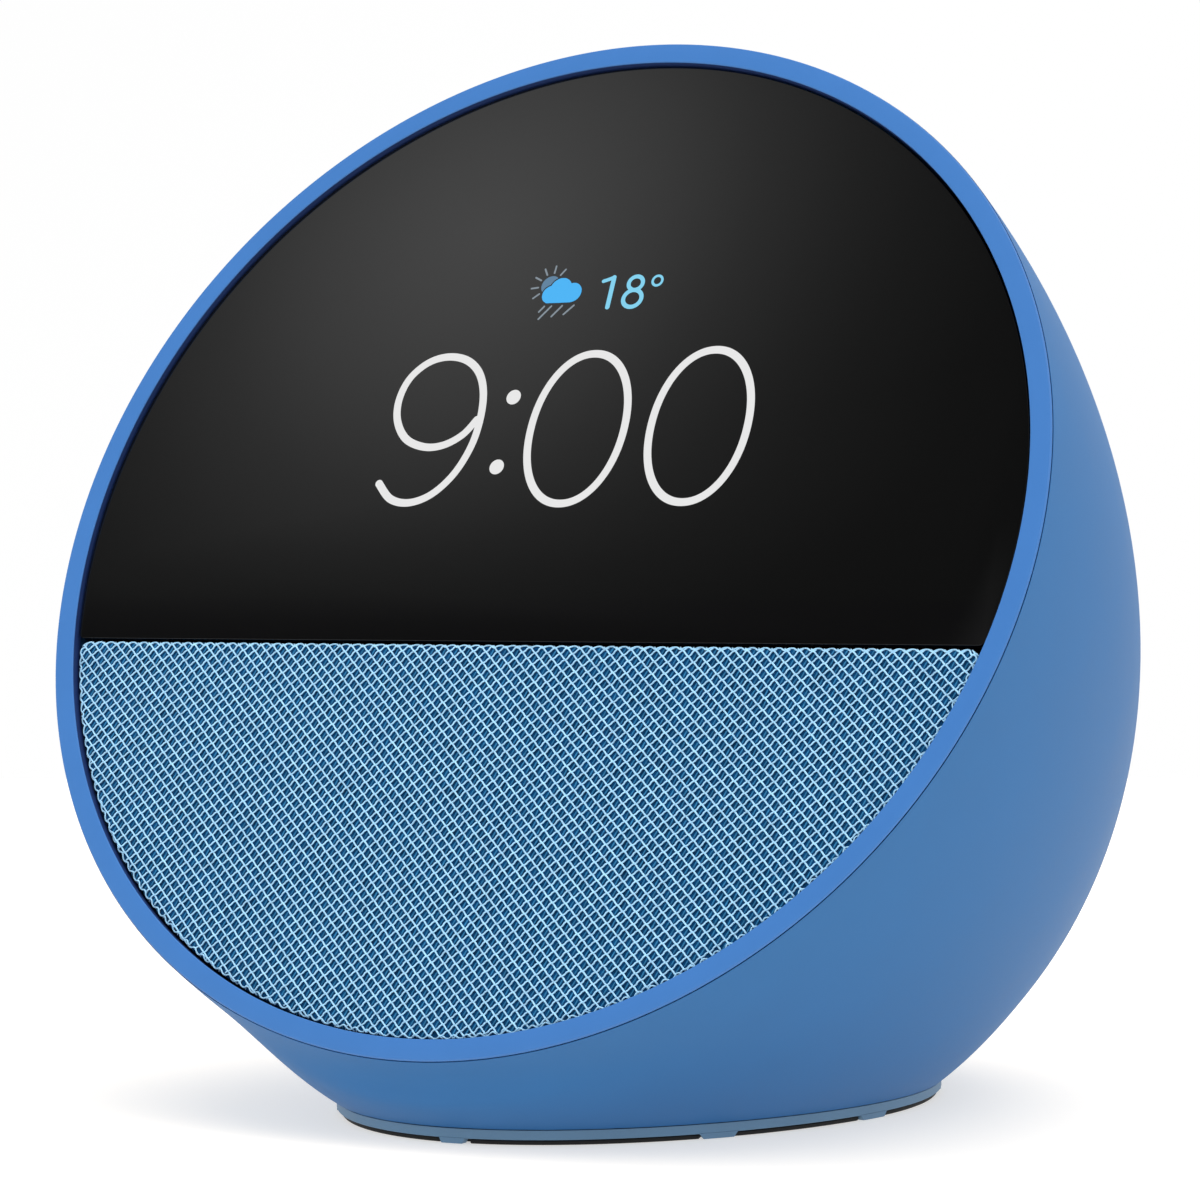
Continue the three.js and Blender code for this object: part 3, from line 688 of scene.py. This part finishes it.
def clock_digits():
    nine = [(-9.35, 12.6), (-10.6, 10.9), (-12.6, 9.75), (-14.9, 9.55), (-17.4, 10.5), (-19.05, 12.6),
            (-19.55, 15.1), (-18.9, 17.6), (-17.1, 19.4), (-14.8, 20.05), (-12.4, 19.6), (-10.5, 18.1),
            (-9.35, 15.7), (-8.95, 12.6), (-9.25, 9.5), (-10.5, 6.4), (-12.6, 4.1), (-15.1, 3.15),
            (-17.5, 3.6), (-19.4, 5.4)]
    lines = [flat_line(curve_through(nine), 0.86)]
    for x in (2.95, 17.0):
        lines.append(flat_line(ellipse(x, 11.35, 5.5, 8.5, 120, 2.08), 0.86, closed=True))
    dots = [flat_patch(ellipse(-5.54, y, 0.84, 0.84, 40)) for y in (15.1, 7.1)]
    picture("clock_numbers", lines + dots, DIGIT_WHITE)


CLOUD_DISCS = [(-4.05, 27.0, 1.03), (-3.0, 27.62, 1.28), (-1.55, 27.15, 1.12)]
CLOUD_BOTTOM = 26.0
SUN = (-4.3, 28.05, 1.12)


def in_cloud(x, y, margin=0.0):
    if y < CLOUD_BOTTOM - margin:
        return False
    if any(math.hypot(x - cx, y - cy) < r + margin for cx, cy, r in CLOUD_DISCS):
        return True
    return -4.05 < x < -1.55 and y < 27.2


def reach_from(x, y, angle, inside, step=0.02, limit=4.0):
    distance = 0.0
    while distance < limit and inside(x + distance * math.cos(angle), y + distance * math.sin(angle)):
        distance += step
    return distance


def weather_picture():
    middle = (-2.8, 27.0)
    outline = []
    for i in range(120):
        angle = 2 * math.pi * i / 120
        distance = reach_from(*middle, angle, in_cloud)
        outline.append((middle[0] + distance * math.cos(angle), middle[1] + distance * math.sin(angle)))
    picture("weather_cloud", [flat_patch(outline)], CLOUD_BLUE)

    start = (-4.75, 28.45)
    disc = []
    for i in range(80):
        angle = 2 * math.pi * i / 80
        distance = reach_from(*start, angle, lambda x, y: math.hypot(x - SUN[0], y - SUN[1]) < SUN[2]
                              and not in_cloud(x, y, 0.16))
        disc.append((start[0] + distance * math.cos(angle), start[1] + distance * math.sin(angle)))
    picture("weather_sun", [flat_patch(disc)], SUN_GREY)

    rays = []
    for degrees in (54, 87, 120, 153, 186, 218):
        c, s = math.cos(math.radians(degrees)), math.sin(math.radians(degrees))
        rays.append(flat_line([(SUN[0] + r * c, SUN[1] + r * s) for r in (1.5, 1.9, 2.3)], 0.2))
    picture("weather_rays", rays, RAY_GREY)

    rain = [[(-4.5, 25.62), (-5.0, 25.0)], [(-3.65, 25.62), (-4.85, 24.15)],
            [(-2.35, 25.62), (-3.35, 24.4)], [(-0.95, 25.62), (-1.95, 24.6)]]
    picture("weather_rain", [flat_line(line, 0.21) for line in rain], RAY_GREY)


def temperature():
    one = [flat_line([(3.12, 25.25), (3.12, 26.4), (3.12, 27.6), (3.12, 28.72)], 0.52),
           flat_line([(3.1, 28.72), (2.55, 28.5), (1.95, 28.32)], 0.42)]
    eight = [flat_line(ellipse(5.85, 27.93, 0.82, 0.78, 48), 0.46, closed=True),
             flat_line(ellipse(5.85, 26.15, 1.06, 0.98, 48), 0.48, closed=True)]
    degree = [flat_line(ellipse(8.35, 28.12, 0.56, 0.56, 40), 0.28, closed=True)]
    picture("temperature_numbers", one + eight + degree, NUMBER_BLUE)


# ---------- knitted grille ----------
def cloth_inside(x, y):
    """Distance in from the cloth's edge; negative outside."""
    corner = CLOTH["corner"]
    a = CLOTH["radius"] - np.hypot(x, y)
    b = CLOTH["top"] - y
    rounded_corner = corner - np.hypot(corner - a, corner - b)
    return np.where((a < corner) & (b < corner), rounded_corner, np.minimum(a, b))


def cloth_drop(inside):
    """How far the cloth has turned down over the frame's edge."""
    bend = KNIT["edge_round"]
    share = np.clip(inside / bend, 0, 1)
    return bend * (1 - np.sqrt(np.clip(1 - (1 - share) ** 2, 0, 1)))


def grille_backing():
    rows = []
    front, thickness = CLOTH["front"], CLOTH["thickness"]
    insets = [0.0, 0.05, 0.12, 0.2, 0.3, 0.42, 1.2]
    for lower in (True, False):
        for inset in (reversed(insets) if lower else insets):
            z = front - float(cloth_drop(np.array(inset))) - (thickness if lower else 0)
            outline = segment_outline(CLOTH["radius"], CLOTH["top"], CLOTH["corner"], inset, -1)
            rows.append([(x, y, z) for x, y in outline])
    cloth = make_object("grille_cloth", *loft(rows), FACE, CLOTH_DARK)
    sharp_by_angle(cloth, 60)
    return cloth


def tube_runs(points, radius, sides):
    """A tube round a run of points, an N x 3 array, closed at its ends."""
    tangent = np.gradient(points, axis=0)
    tangent /= np.linalg.norm(tangent, axis=1)[:, None]
    across = np.cross(tangent, np.array([0.0, 0.0, 1.0]))
    across /= np.linalg.norm(across, axis=1)[:, None]
    rise = np.cross(across, tangent)
    rows = []
    for i in range(sides):
        angle = 2 * math.pi * i / sides
        rows.append(points + radius * (math.cos(angle) * across + math.sin(angle) * rise))
    count = len(points)
    verts = np.stack(rows, axis=1).reshape(-1, 3)
    faces = []
    for k in range(count - 1):
        for i in range(sides):
            j = (i + 1) % sides
            faces.append((k * sides + i, k * sides + j, (k + 1) * sides + j, (k + 1) * sides + i))
    faces.append(tuple(range(sides - 1, -1, -1)))
    last = (count - 1) * sides
    faces.append(tuple(last + i for i in range(sides)))
    return verts, faces


def drift(x, y):
    """The knit isn't quite regular: a slow wander of its rows."""
    dx = 0.16 * np.sin(x / 9.1 + y / 13.7) + 0.1 * np.sin(y / 5.3 - x / 17.0 + 1.3)
    dy = 0.12 * np.sin(x / 14.9 - y / 8.3 + 0.7) + 0.07 * np.sin(x / 6.1 + 2.1)
    return dx, dy


def gather(pieces, name, look):
    verts, faces, start = [], [], 0
    for piece_verts, piece_faces in pieces:
        verts.append(piece_verts)
        faces += [tuple(start + i for i in face) for face in piece_faces]
        start += len(piece_verts)
    return make_object(name, np.concatenate(verts).tolist(), faces, FACE, look)


def knit_threads(slope):
    """One family of the threads that cross into diamonds. slope is -1 or 1."""
    width, height = KNIT["width"], KNIT["height"]
    runs = []
    edge = math.hypot(width / 2, height / 2)
    for number in range(-90, 91):
        t = np.arange(-56, 56, width / 2 / 4)
        x = t
        y = slope * height * (t / width - number)
        phase = 2 * math.pi * t / (width / 2)
        parity = number % 2
        wave = (0.02 if slope < 0 else -0.07) * np.sin(phase)
        over = 0.05 * np.cos(phase / 2 + math.pi * (parity + (slope > 0)))
        nx, ny = -slope * height / 2 / edge, width / 2 / edge
        dx, dy = drift(x, y)
        px = x + nx * wave + dx
        py = y + ny * wave + dy
        inside = cloth_inside(px, py)
        z = CLOTH["front"] + 0.14 + over - cloth_drop(inside - 0.05)
        keep = inside > 0.04
        points = np.stack([px, py, z], axis=1)
        start = None
        for i in range(len(t) + 1):
            live = i < len(t) and keep[i]
            if live and start is None:
                start = i
            if not live and start is not None:
                if i - start > 3:
                    runs.append(tube_runs(points[start:i], KNIT["thread"], 6))
                start = None
    return runs


def knit_filaments():
    """The thinner strands that lie across each diamond, behind the main threads."""
    width, height = KNIT["width"], KNIT["height"]
    pieces = []
    for a in range(-80, 81):
        for b in range(-80, 81):
            x = width * (a + b + 1) / 2
            y = height * (a - b) / 2
            if y > CLOTH["top"] or math.hypot(x, y) > CLOTH["radius"]:
                continue
            dx, dy = drift(x, y)
            x, y = x + dx, y + dy
            if cloth_inside(np.array(x), np.array(y)) < 0.35:
                continue
            lean = 0.2 + 0.08 * noise.noise(Vector((x * 1.7, y * 1.7, 0)))
            bow = 0.05 * noise.noise(Vector((x * 1.3, y * 2.1, 5)))
            line = np.array([[x - lean + bow, y - 0.44, 0], [x - lean * 0.3, y - 0.16, 0],
                             [x + lean * 0.3, y + 0.16, 0], [x + lean + bow, y + 0.44, 0]])
            inside = cloth_inside(line[:, 0], line[:, 1])
            line[:, 2] = CLOTH["front"] + 0.03 - cloth_drop(inside)
            pieces.append(tube_runs(line, KNIT["strand"], 5))
    return pieces


def knit_edge():
    """Loops that close the knit along its edge, one to each diamond."""
    outline = segment_outline(CLOTH["radius"], CLOTH["top"], CLOTH["corner"], 0.1, -1, 900, 24, 520)
    points = np.array(outline + outline[:1])
    steps = np.hypot(*np.diff(points, axis=0).T)
    length = np.concatenate([[0], np.cumsum(steps)])
    total = length[-1]
    count = round(total / KNIT["width"])
    s = np.linspace(0, total, count * 9)
    x = np.interp(s, length, points[:, 0])
    y = np.interp(s, length, points[:, 1])
    tangent = np.gradient(np.stack([x, y], 1), axis=0)
    tangent /= np.linalg.norm(tangent, axis=1)[:, None]
    inward = np.stack([-tangent[:, 1], tangent[:, 0]], 1)
    phase = np.pi * s / total * count
    depth = 0.3 * np.abs(np.cos(phase)) ** 3
    x = x + inward[:, 0] * depth
    y = y + inward[:, 1] * depth
    inside = cloth_inside(x, y)
    z = CLOTH["front"] + 0.13 - cloth_drop(inside)
    return [tube_runs(np.stack([x, y, z], 1), KNIT["thread"], 6)]


def knitted_grille():
    cloth = grille_backing()
    down = gather(knit_threads(-1), "knit_threads_falling", THREAD_PALE)
    rise = gather(knit_threads(1), "knit_threads_rising", THREAD_PALE)
    fill = gather(knit_filaments(), "knit_filaments", THREAD_MID)
    rim = gather(knit_edge(), "knit_edge_loops", THREAD_PALE)
    for piece in (cloth, down, rise, fill, rim):
        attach(piece, "housing")
    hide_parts("grille_fabric")


# ---------- buttons ----------
def dome_height_finder():
    """Height of the proud dome above a point of the button frame."""
    verts, faces = dome(1 + BUTTON["proud"] / FACE_RADIUS, 240, 96)
    to_buttons = BUTTONS.inverted() @ FACE
    points = [to_buttons @ Vector(v) for v in verts]
    tree = BVHTree.FromPolygons(points, [f for f in faces if len(f) < 5])

    def height(x, y):
        spot = tree.ray_cast(Vector((x, y, 30)), Vector((0, 0, -1)))[0]
        return spot.z

    return height


def button_cap(name, x, height):
    radius, flange = BUTTON["radius"], BUTTON["flange"]
    low, high = BUTTON_FLANGE
    sides = 72
    edge = BUTTON["edge"]

    def ring(r, z_of):
        return [(x + r * math.cos(2 * math.pi * i / sides), r * math.sin(2 * math.pi * i / sides),
                 z_of(x + r * math.cos(2 * math.pi * i / sides), r * math.sin(2 * math.pi * i / sides)))
                for i in range(sides)]

    rows = [ring(flange, lambda px, py: low), ring(flange, lambda px, py: high),
            ring(radius, lambda px, py: high)]
    for i in range(7):
        angle = math.pi / 2 * i / 6
        r = radius - edge + edge * math.cos(angle)
        drop = edge * (1 - math.sin(angle))
        rows.append(ring(r, lambda px, py, d=drop: height(px, py) - d))
    for r in (3.2, 2.6, 1.9, 1.2, 0.5):
        dish = BUTTON["dish"] * (1 - (r / BUTTON["dish_radius"]) ** 2)
        rows.append(ring(r, lambda px, py, d=dish: height(px, py) - d))
    cap = make_object(f"cap_{name}", *loft(rows), BUTTONS, BLUE_BUTTON)
    sharp_by_angle(cap, 50)
    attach(cap, f"button_{name}")
    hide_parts(f"button_{name}")


def button_symbol(name, x, height, lines):
    """Raised lines on a button; each line is (points, width, closed)."""
    def dish(px, py):
        return BUTTON["dish"] * (1 - min(1, math.hypot(px - x, py) / BUTTON["dish_radius"]) ** 2)

    parts = []
    for points, width, closed in lines:
        moved = [(px + x, py) for px, py in points]
        left, right = stroke(moved, width, closed)
        parts.append(thicken(left, right, closed, lambda px, py: height(px, py) - dish(px, py) - 0.08,
                             lambda px, py: height(px, py) - dish(px, py) + 0.06))
    symbol = make_object(f"symbol_{name}", *join(parts), BUTTONS, SYMBOL, smooth=False)
    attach(symbol, f"button_{name}")


def straight(x0, y0, x1, y1, steps=6):
    return [(x0 + (x1 - x0) * i / steps, y0 + (y1 - y0) * i / steps) for i in range(steps + 1)]


def buttons():
    height = dome_height_finder()
    spacing = BUTTON["spacing"]
    bar = (straight(-1.35, 0, 1.35, 0), 0.4, False)
    post = (straight(0, -1.35, 0, 1.35), 0.4, False)
    capsule = ellipse(0, 0.45, 0.5, 0.95, 40, 2.6)
    cradle = [(-0.95, 0.25), (-0.85, -0.45), (-0.4, -0.95), (0, -1.05), (0.4, -0.95), (0.85, -0.45),
              (0.95, 0.25)]
    microphone = [(capsule, 0.3, True), (curve_through(cradle, steps=5), 0.28, False),
                  (straight(0, -1.1, 0, -1.6, 2), 0.28, False), (straight(-1.5, 1.4, 1.5, -1.4), 0.3, False)]
    for name, step, lines in (("volume_up", 1, [bar, post]), ("volume_down", -1, [bar]),
                              ("mic_off", 0, microphone)):
        button_cap(name, step * spacing, height)
        button_symbol(name, step * spacing, height, lines)


# ---------- foot ----------
def tab_share(angle):
    """1 at a locating tab, 0 away from it."""
    best = 0.0
    for tab in TAB_ANGLES:
        away = abs((angle - tab + math.pi) % (2 * math.pi) - math.pi)
        best = max(best, 1 - smooth((away - NOTCH["reach"]) / NOTCH["blur"]))
    return best


def foot_plate():
    top, bottom = FOOT["top"], FOOT["bottom"]
    inner = RUBBER["inner"] + 0.02
    edge = 0.18
    rows = [foot_row(1.2, inner), foot_row(bottom, inner), foot_row(bottom, 1, 0.5)]
    rows += [foot_row(bottom + edge * (1 - math.cos(a)), 1, edge * (1 - math.sin(a)))
             for a in (0, math.pi / 6, math.pi / 3, math.pi / 2)]
    rows += [foot_row(top, 1), foot_row(top, FOOT["inset"]), foot_row(FOOT["plate_top"], FOOT["inset"])]
    parts = [loft(rows)]
    for tab in TAB_ANGLES:
        sections = []
        for z, half in ((FOOT["tab_bottom"], TAB["lower_half"]), (bottom + 0.05, TAB["upper_half"])):
            radius = math.hypot(*[a - b for a, b in zip(foot_point(tab), (0, FLARE["middle"]))])
            reach = half / radius
            angles = [tab - reach + 2 * reach * i / 6 for i in range(7)]
            front = [(*foot_point(a, 1, 0.02), z) for a in angles]
            back = [(*foot_point(a, 1, TAB["depth"]), z) for a in reversed(angles)]
            sections.append(front + back)
        parts.append(loft(sections))
    obj = make_object("foot_ring_and_plate", *join(parts), BASE, BLUE_FOOT)
    sharp_by_angle(obj, 40)
    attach(obj, "housing")
    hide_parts("foot_plate")


def rubber_foot():
    def row(z, scale, inward=0.0):
        points = []
        for side in range(512):
            angle = 2 * math.pi * side / 512
            x, y = foot_point(angle, scale, inward + NOTCH["depth"] * tab_share(angle))
            points.append((x, y, z))
        return points

    edge = RUBBER["edge"]
    rows = [row(0.0, RUBBER["scale"], 0.25), row(0.03, RUBBER["scale"], 0.1), row(0.12, RUBBER["scale"]),
            row(edge, RUBBER["scale"])]
    inner = foot_row(edge, RUBBER["inner"], 0, 512)
    rows += [inner, foot_row(RUBBER["middle"], RUBBER["inner"], 0, 512)]
    obj = make_object("foot_rubber", *loft(rows), BASE, RUBBER_BLACK)
    sharp_by_angle(obj, 50)
    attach(obj, "housing")
    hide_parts("rubber_foot")


# ---------- power socket ----------
def power_socket():
    face, back, barrel, bore = POWER["face"], POWER["back"], POWER["barrel"], POWER["bore"]
    profile = [(0.02, back), (barrel, back)]
    profile += rounded(barrel - 0.3, face - 0.3, 0.3, 0, 90)
    profile += rounded(bore + 0.35, face - 0.35, 0.35, 90, 180)
    profile += [(bore, face - 9), (0.02, face - 9)]
    verts, faces = revolve(profile, 96)
    obj = make_object("socket_body", along_y(verts), faces, BASE, SOCKET_BLACK)
    sharp_by_angle(obj, 40)
    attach(obj, "housing")
    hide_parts("power_socket")


# ---------- the carried-over CAD nodes ----------
SLOT_LOOKS = {
    "grille_plastic": dict(rgb=(18, 34, 62), roughness=0.6),
    "black_plastic": dict(rgb=(30, 31, 34), roughness=0.5),
    "foam": dict(rgb=(44, 45, 48), roughness=0.95, mottle=0.25, mottle_mm=0.5, grain_height=0.05),
    "rubber": dict(rgb=(26, 27, 30), roughness=0.8, mottle=0.12),
    "steel": dict(rgb=(176, 179, 184), roughness=0.35, metallic=1.0, stretch=(1, 14, 1), rough_change=0.1),
    "magnet": dict(rgb=(62, 64, 68), roughness=0.5, metallic=0.7, mottle=0.15),
    "paper": dict(rgb=(38, 40, 44), roughness=0.9, mottle=0.2, mottle_mm=0.6, grain_height=0.03),
    "copper": dict(rgb=(190, 116, 66), roughness=0.35, metallic=1.0, stretch=(0.2, 0.2, 9)),
    "circuit": dict(rgb=(18, 86, 60), roughness=0.4, mottle=0.3, mottle_mm=1.5),
    "flex": dict(rgb=(186, 112, 34), roughness=0.45, mottle=0.12),
    "thermal": dict(rgb=(142, 150, 160), roughness=0.9, mottle=0.1),
    "aluminium": dict(rgb=(200, 203, 208), roughness=0.4, metallic=1.0, stretch=(12, 1, 1)),
    "wire": dict(rgb=(142, 30, 32), roughness=0.55, mottle=0.08),
}


def finish_inner_nodes():
    looks = {slot: material(f"inner_{slot}", **look) for slot, look in SLOT_LOOKS.items()}
    for row in frame["record"]["subparts"]:
        look = looks.get(row["material_slot"])
        node = nodes[row["node"]]
        if look and not node.hide_render:
            node.data.materials.clear()
            node.data.materials.append(look)


# ---------- stage ----------
def floor_material():
    made, tree, shader = start_material("floor_white")
    put(shader, Roughness=0.9, Specular_IOR_Level=0.1, Emission_Color=(1, 1, 1, 1),
        Emission_Strength=FLOOR["glow"])
    two_tone(tree, noise_node(tree, None, 8), shader.inputs["Base Color"], (0.58, 0.535, 0.475),
             (0.61, 0.56, 0.5))
    return made


def studio_floor():
    rows = [circle(radius, FLOOR["z"], 96) for radius in FLOOR["radii"]]
    floor = make_object("studio_floor", *loft(rows, close_start=False), Matrix.Scale(MM, 4), floor_material())


def softbox(name, place, size, power):
    data = bpy.data.lights.new(name, "AREA")
    data.shape = "RECTANGLE"
    data.size, data.size_y = size
    data.energy = power
    light = bpy.data.objects.new(name, data)
    light.location = place
    light.rotation_mode = "QUATERNION"
    light.rotation_quaternion = (Vector(LIGHT_AIM) - Vector(place)).to_track_quat("-Z", "Y")
    light.visible_glossy = False
    bpy.context.scene.collection.objects.link(light)


def studio_world():
    """White all round, with a darker patch high in front that the screen mirrors, and a soft glow in it."""
    world = bpy.data.worlds.new("studio")
    bpy.context.scene.world = world
    world.use_nodes = True
    tree = world.node_tree
    background = tree.nodes["Background"]
    place = tree.nodes.new("ShaderNodeTexCoord")
    dot = tree.nodes.new("ShaderNodeVectorMath")
    dot.operation = "DOT_PRODUCT"
    dot.inputs[1].default_value = Vector(GLOW_FROM).normalized()
    unit = tree.nodes.new("ShaderNodeVectorMath")
    unit.operation = "NORMALIZE"
    tree.links.new(place.outputs["Generated"], unit.inputs[0])
    tree.links.new(unit.outputs["Vector"], dot.inputs[0])
    angle = tree.nodes.new("ShaderNodeMath")
    angle.operation = "ARCCOSINE"
    tree.links.new(dot.outputs["Value"], angle.inputs[0])
    scale = tree.nodes.new("ShaderNodeMath")
    scale.operation = "MULTIPLY"
    scale.inputs[1].default_value = 180 / math.pi / GLOW_SPAN
    tree.links.new(angle.outputs["Value"], scale.inputs[0])
    ramp = tree.nodes.new("ShaderNodeValToRGB")
    elements = ramp.color_ramp.elements
    while len(elements) < len(GLOW):
        elements.new(0.5)
    for element, (degrees, value) in zip(elements, GLOW):
        element.position = degrees / GLOW_SPAN
        element.color = (value, value, value, 1)
    tree.links.new(scale.outputs["Value"], ramp.inputs["Fac"])
    tree.links.new(ramp.outputs["Color"], background.inputs["Color"])
    background.inputs["Strength"].default_value = 1.0


def camera():
    data = bpy.data.cameras.new("camera")
    data.sensor_width = 36
    data.lens = CAMERA["lens"]
    data.clip_start, data.clip_end = 0.01, 100
    azimuth, elevation = math.radians(CAMERA["azimuth"]), math.radians(CAMERA["elevation"])
    back = Vector((math.sin(azimuth) * math.cos(elevation), -math.cos(azimuth) * math.cos(elevation),
                   math.sin(elevation)))
    eye = bpy.data.objects.new("camera", data)
    eye.location = FACE_CENTRE + Vector(CAMERA["from_face"]) * MM
    eye.rotation_mode = "QUATERNION"
    eye.rotation_quaternion = (-back).to_track_quat("-Z", "Y")
    bpy.context.scene.collection.objects.link(eye)
    bpy.context.scene.camera = eye


def studio():
    studio_floor()
    studio_world()
    softbox("overhead", (0.1, -0.1, 1.2), (1.4, 1.4), 12)
    softbox("left_front", (-0.9, -0.8, 0.6), (0.8, 0.8), 4)
    softbox("right_side", (1.0, -0.3, 0.4), (0.7, 0.9), 0.8)
    camera()
    bpy.context.scene.view_settings.view_transform = "Standard"


rear_shell()
front_bezel()
cover_glass()
clock_digits()
weather_picture()
temperature()
knitted_grille()
buttons()
foot_plate()
rubber_foot()
power_socket()
finish_inner_nodes()
studio()
